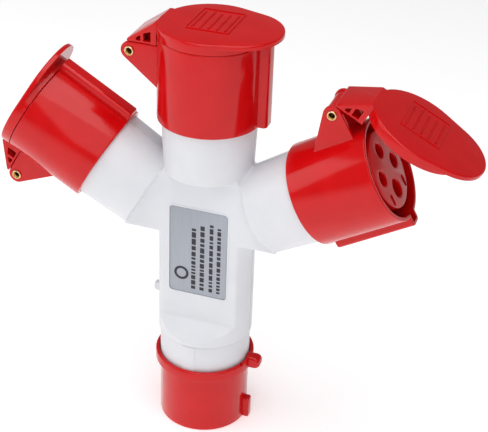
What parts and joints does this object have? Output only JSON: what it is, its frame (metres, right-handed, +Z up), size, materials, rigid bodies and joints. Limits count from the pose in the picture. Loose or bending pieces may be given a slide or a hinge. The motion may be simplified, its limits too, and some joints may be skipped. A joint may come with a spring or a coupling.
{
  "type": "industrial power splitter",
  "caption": "Plug-in splitter: an industrial pin-and-sleeve plug on a white trunk that fans out to sockets with sprung flap lids.",
  "frame": {"origin": "middle of the plug's contact-carrier face, on the axis of the trunk", "axes": "+Z up the trunk and along the top arm, -Z out of the plug; the arms fan out in the XZ plane; the label faces -Y"},
  "size_m": [0.2873, 0.0614, 0.2627],
  "materials": {
    "red_plastic": "moulded gloss",
    "white_housing_plastic": "moulded satin",
    "label_foil": "printed satin foil",
    "nickel_plated_brass": "turned and nickel plated",
    "rivet_brass": "rolled tube, bright",
    "zinc_plated_steel": "zinc plated",
    "spring_steel": "drawn wire",
    "black_rubber": "moulded matt",
    "brown_wire": "insulation",
    "black_wire": "insulation",
    "grey_wire": "insulation",
    "earth_wire": "insulation"
  },
  "bodies": {
    "housing": {"front_shell": "white_housing_plastic", "back_shell": "white_housing_plastic", "label_plate": "label_foil", "housing_screw_1": "zinc_plated_steel", "housing_screw_2": "zinc_plated_steel", "housing_screw_3": "zinc_plated_steel", "housing_screw_4": "zinc_plated_steel", "housing_screw_5": "zinc_plated_steel", "housing_screw_6": "zinc_plated_steel", "plug_shroud": "red_plastic", "plug_neck": "white_housing_plastic", "plug_contact_carrier": "red_plastic", "plug_pin_L1": "nickel_plated_brass", "plug_pin_L2": "nickel_plated_brass", "plug_pin_L3": "nickel_plated_brass", "plug_pin_earth": "nickel_plated_brass", "conductor_L1": "brown_wire", "conductor_L2": "black_wire", "conductor_L3": "grey_wire", "conductor_earth": "earth_wire", "left_socket_body": "red_plastic", "left_contact_carrier": "red_plastic", "left_contact_L1": "nickel_plated_brass", "left_contact_L2": "nickel_plated_brass", "left_contact_L3": "nickel_plated_brass", "left_contact_earth": "nickel_plated_brass", "left_hinge_rivet": "rivet_brass", "left_lid_spring": "spring_steel", "top_socket_body": "red_plastic", "top_contact_carrier": "red_plastic", "top_contact_L1": "nickel_plated_brass", "top_contact_L2": "nickel_plated_brass", "top_contact_L3": "nickel_plated_brass", "top_contact_earth": "nickel_plated_brass", "top_hinge_rivet": "rivet_brass", "top_lid_spring": "spring_steel", "right_socket_body": "red_plastic", "right_contact_carrier": "red_plastic", "right_contact_L1": "nickel_plated_brass", "right_contact_L2": "nickel_plated_brass", "right_contact_L3": "nickel_plated_brass", "right_contact_earth": "nickel_plated_brass", "right_hinge_rivet": "rivet_brass", "right_lid_spring": "spring_steel"},
    "left_lid": {"left_lid": "red_plastic", "left_lid_gasket": "black_rubber"},
    "top_lid": {"top_lid": "red_plastic", "top_lid_gasket": "black_rubber"},
    "right_lid": {"right_lid": "red_plastic", "right_lid_gasket": "black_rubber"}
  },
  "joints": [
    {"name": "left_lid_hinge", "type": "hinge", "parent": "housing", "child": "left_lid", "pos_m": [-0.11865, 0, 0.1089], "axis": [0, -1, 0], "range_deg": [0, 110], "stiffness_Nm_per_rad": 0.02, "springref_deg": -90, "deforming": ["left_lid_spring"]},
    {"name": "top_lid_hinge", "type": "hinge", "parent": "housing", "child": "top_lid", "pos_m": [-0.044, 0, 0.2028], "axis": [0, -1, 0], "range_deg": [0, 110], "stiffness_Nm_per_rad": 0.02, "springref_deg": -90, "deforming": ["top_lid_spring"]},
    {"name": "right_lid_hinge", "type": "hinge", "parent": "housing", "child": "right_lid", "pos_m": [0.07465, 0, 0.1851], "axis": [0, -1, 0], "range_deg": [-33, 77], "stiffness_Nm_per_rad": 0.02, "springref_deg": -123, "deforming": ["right_lid_spring"]}
  ]
}
